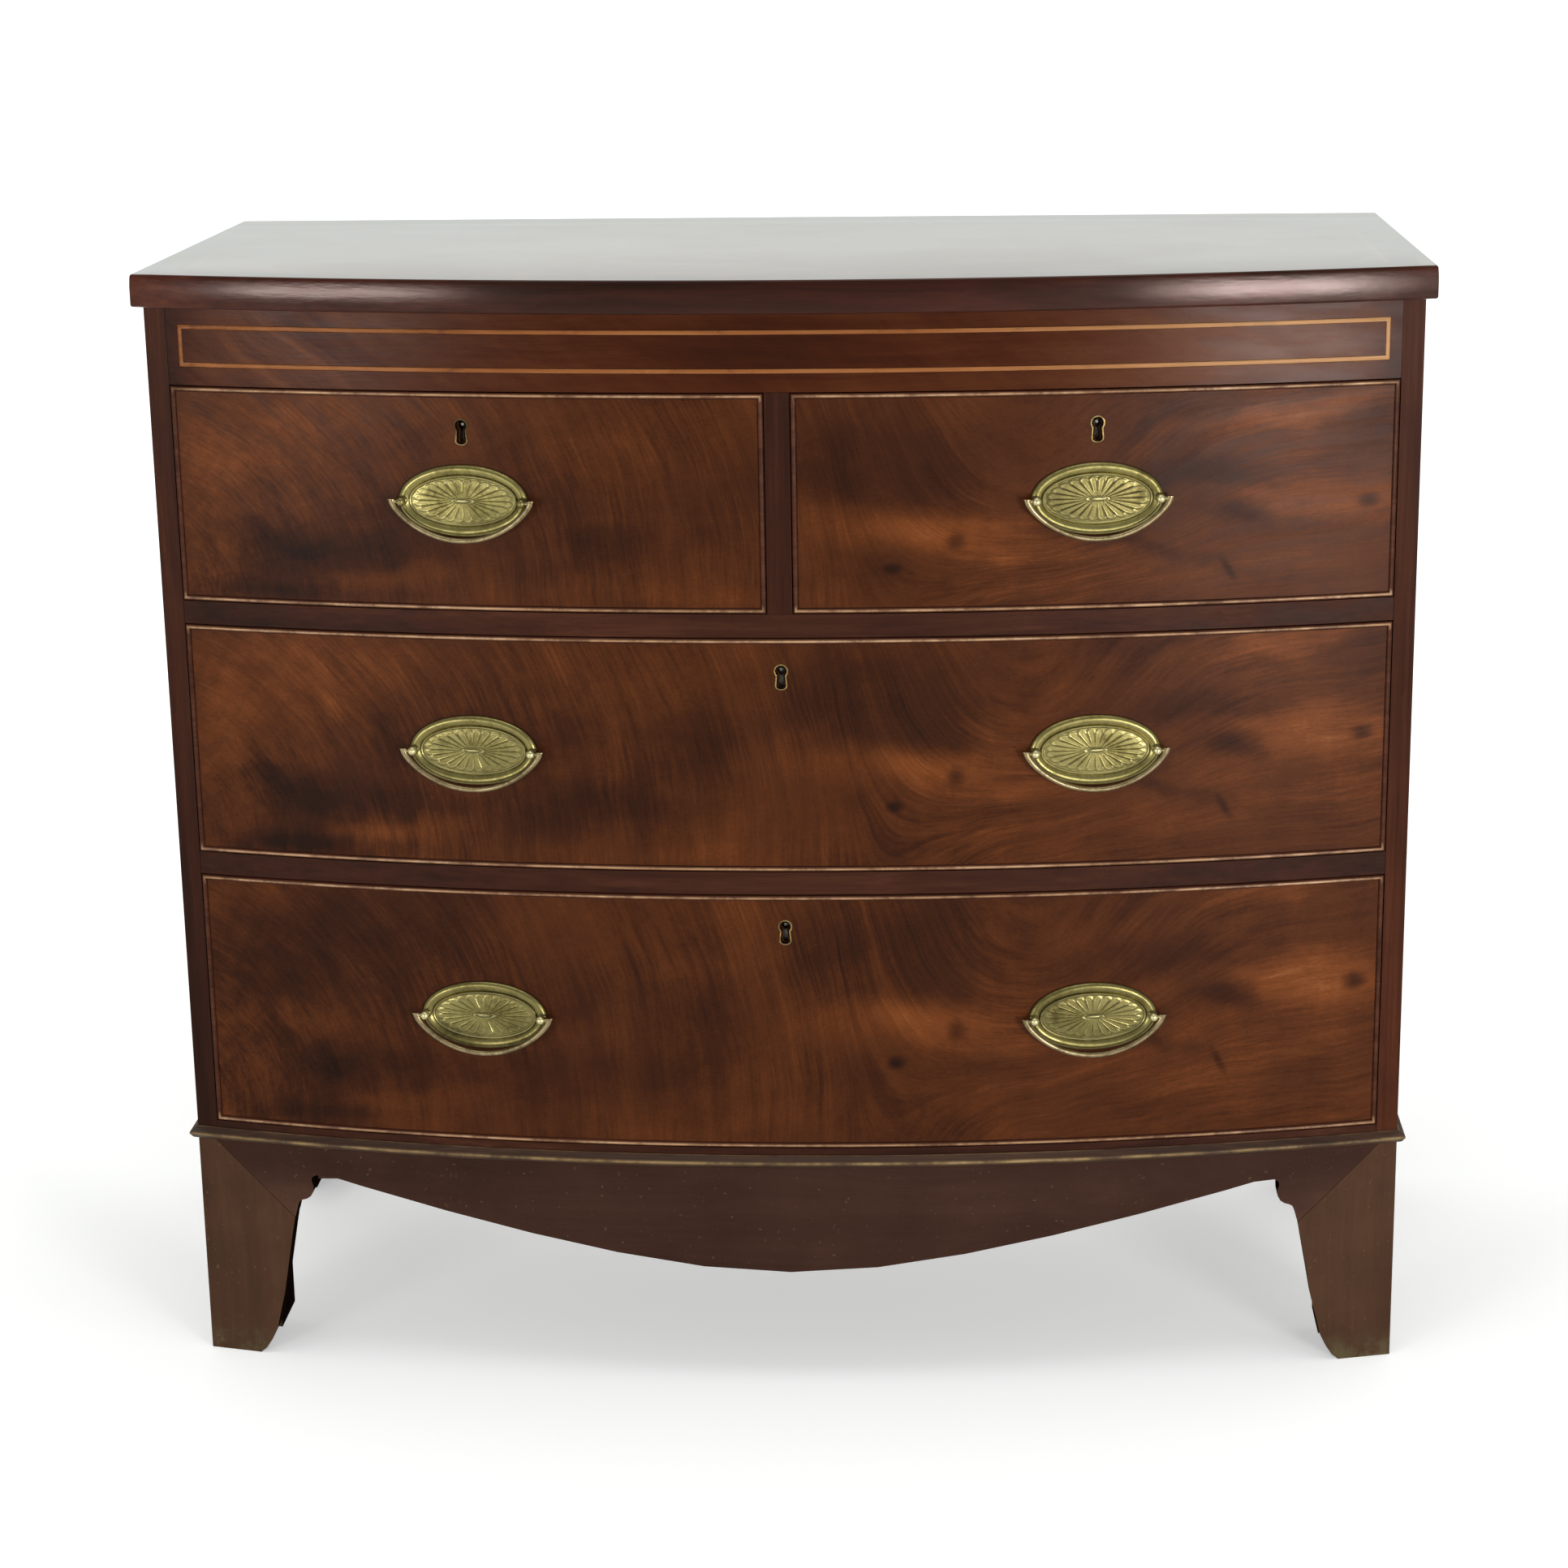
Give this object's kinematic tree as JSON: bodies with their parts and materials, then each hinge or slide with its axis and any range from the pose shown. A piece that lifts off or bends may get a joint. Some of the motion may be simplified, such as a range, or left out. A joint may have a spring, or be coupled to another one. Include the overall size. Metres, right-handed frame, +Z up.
{
  "type": "bow front chest of drawers",
  "caption": "Bow front chest of drawers: short drawers over long ones, oval bail handles, inlaid frieze, shaped apron, bracket feet.",
  "frame": {"origin": "on the floor, under the middle of the chest's bounding box", "axes": "+Z up, +X to the viewer's right, the bowed front faces -Y"},
  "size_m": [1.04, 0.494, 0.934],
  "materials": {
    "top_mahogany": "old mahogany, waxed and polished to a strong shine",
    "side_mahogany": "old mahogany, waxed",
    "frieze_mahogany": "old mahogany veneer, waxed",
    "rail_mahogany": "old mahogany veneer, waxed",
    "drawer_mahogany": "flame-figured mahogany veneer, waxed and polished",
    "cockbead": "mahogany bead, worn light along its edge",
    "stringing": "boxwood line inlay, aged",
    "moulding_mahogany": "mahogany moulding, worn olive brown",
    "apron_mahogany": "old mahogany veneer, dull",
    "foot_mahogany": "old mahogany veneer, dull and scuffed",
    "deal": "bare aged pine",
    "oak": "bare aged oak",
    "brass_plate": "stamped brass, aged, lightly polished",
    "brass_bail": "cast brass, aged, worn bright",
    "brass_escutcheon": "inset brass, aged",
    "brass_bolt": "brass bolt",
    "steel": "old iron lock"
  },
  "bodies": {
    "root": {"top_board": "top_mahogany", "side_left": "side_mahogany", "side_right": "side_mahogany", "back_board_lower": "deal", "back_board_upper": "deal", "frieze_rail": "frieze_mahogany", "frieze_stringing": "stringing", "rail_upper": "rail_mahogany", "rail_lower": "rail_mahogany", "carcase_bottom": "rail_mahogany", "dustboard_lower": "deal", "dustboard_upper": "deal", "drawer_divider": "rail_mahogany", "drawer_guide": "deal", "base_moulding": "moulding_mahogany", "apron": "apron_mahogany", "foot_front_left": "foot_mahogany", "foot_front_right": "foot_mahogany", "foot_rear_left": "foot_mahogany", "foot_rear_right": "foot_mahogany"},
    "short_left_bolt": {"short_left_bolt": "brass_bolt"},
    "short_left_handle_bail": {"short_left_handle_bail": "brass_bail"},
    "drawer_short_left": {"short_left_front": "drawer_mahogany", "short_left_cockbead": "cockbead", "short_left_box": "oak", "short_left_bottom": "oak", "short_left_lock": "steel", "short_left_escutcheon": "brass_escutcheon", "short_left_handle_plate": "brass_plate"},
    "short_right_bolt": {"short_right_bolt": "brass_bolt"},
    "short_right_handle_bail": {"short_right_handle_bail": "brass_bail"},
    "drawer_short_right": {"short_right_front": "drawer_mahogany", "short_right_cockbead": "cockbead", "short_right_box": "oak", "short_right_bottom": "oak", "short_right_lock": "steel", "short_right_escutcheon": "brass_escutcheon", "short_right_handle_plate": "brass_plate"},
    "long_upper_bolt": {"long_upper_bolt": "brass_bolt"},
    "long_upper_left_handle_bail": {"long_upper_left_handle_bail": "brass_bail"},
    "long_upper_right_handle_bail": {"long_upper_right_handle_bail": "brass_bail"},
    "drawer_long_upper": {"long_upper_front": "drawer_mahogany", "long_upper_cockbead": "cockbead", "long_upper_box": "oak", "long_upper_bottom": "oak", "long_upper_lock": "steel", "long_upper_escutcheon": "brass_escutcheon", "long_upper_left_handle_plate": "brass_plate", "long_upper_right_handle_plate": "brass_plate"},
    "long_lower_bolt": {"long_lower_bolt": "brass_bolt"},
    "long_lower_left_handle_bail": {"long_lower_left_handle_bail": "brass_bail"},
    "long_lower_right_handle_bail": {"long_lower_right_handle_bail": "brass_bail"},
    "drawer_long_lower": {"long_lower_front": "drawer_mahogany", "long_lower_cockbead": "cockbead", "long_lower_box": "oak", "long_lower_bottom": "oak", "long_lower_lock": "steel", "long_lower_escutcheon": "brass_escutcheon", "long_lower_left_handle_plate": "brass_plate", "long_lower_right_handle_plate": "brass_plate"}
  },
  "joints": [
    {"name": "short_left_slide", "type": "slide", "parent": "root", "child": "drawer_short_left", "axis": [0, -1, 0], "range_m": [0, 0.3]},
    {"name": "short_left_bolt_throw", "type": "slide", "parent": "drawer_short_left", "child": "short_left_bolt", "axis": [0, 0, 1], "range_m": [0, 0.008]},
    {"name": "short_left_bail_swing", "type": "hinge", "parent": "drawer_short_left", "child": "short_left_handle_bail", "pos_m": [-0.25303, -0.22687, 0.75745], "axis": [-0.9925, 0.1223, 0], "range_deg": [0, 95]},
    {"name": "short_right_slide", "type": "slide", "parent": "root", "child": "drawer_short_right", "axis": [0, -1, 0], "range_m": [0, 0.3]},
    {"name": "short_right_bolt_throw", "type": "slide", "parent": "drawer_short_right", "child": "short_right_bolt", "axis": [0, 0, 1], "range_m": [0, 0.008]},
    {"name": "short_right_bail_swing", "type": "hinge", "parent": "drawer_short_right", "child": "short_right_handle_bail", "pos_m": [0.25303, -0.22687, 0.75745], "axis": [-0.9925, -0.1223, 0], "range_deg": [0, 95]},
    {"name": "long_upper_slide", "type": "slide", "parent": "root", "child": "drawer_long_upper", "axis": [0, -1, 0], "range_m": [0, 0.3]},
    {"name": "long_upper_bolt_throw", "type": "slide", "parent": "drawer_long_upper", "child": "long_upper_bolt", "axis": [0, 0, 1], "range_m": [0, 0.008]},
    {"name": "long_upper_left_bail_swing", "type": "hinge", "parent": "drawer_long_upper", "child": "long_upper_left_handle_bail", "pos_m": [-0.25303, -0.22687, 0.55195], "axis": [-0.9925, 0.1223, 0], "range_deg": [0, 95]},
    {"name": "long_upper_right_bail_swing", "type": "hinge", "parent": "drawer_long_upper", "child": "long_upper_right_handle_bail", "pos_m": [0.25303, -0.22687, 0.55195], "axis": [-0.9925, -0.1223, 0], "range_deg": [0, 95]},
    {"name": "long_lower_slide", "type": "slide", "parent": "root", "child": "drawer_long_lower", "axis": [0, -1, 0], "range_m": [0, 0.3]},
    {"name": "long_lower_bolt_throw", "type": "slide", "parent": "drawer_long_lower", "child": "long_lower_bolt", "axis": [0, 0, 1], "range_m": [0, 0.008]},
    {"name": "long_lower_left_bail_swing", "type": "hinge", "parent": "drawer_long_lower", "child": "long_lower_left_handle_bail", "pos_m": [-0.25303, -0.22687, 0.3247], "axis": [-0.9925, 0.1223, 0], "range_deg": [0, 95]},
    {"name": "long_lower_right_bail_swing", "type": "hinge", "parent": "drawer_long_lower", "child": "long_lower_right_handle_bail", "pos_m": [0.25303, -0.22687, 0.3247], "axis": [-0.9925, -0.1223, 0], "range_deg": [0, 95]}
  ]
}
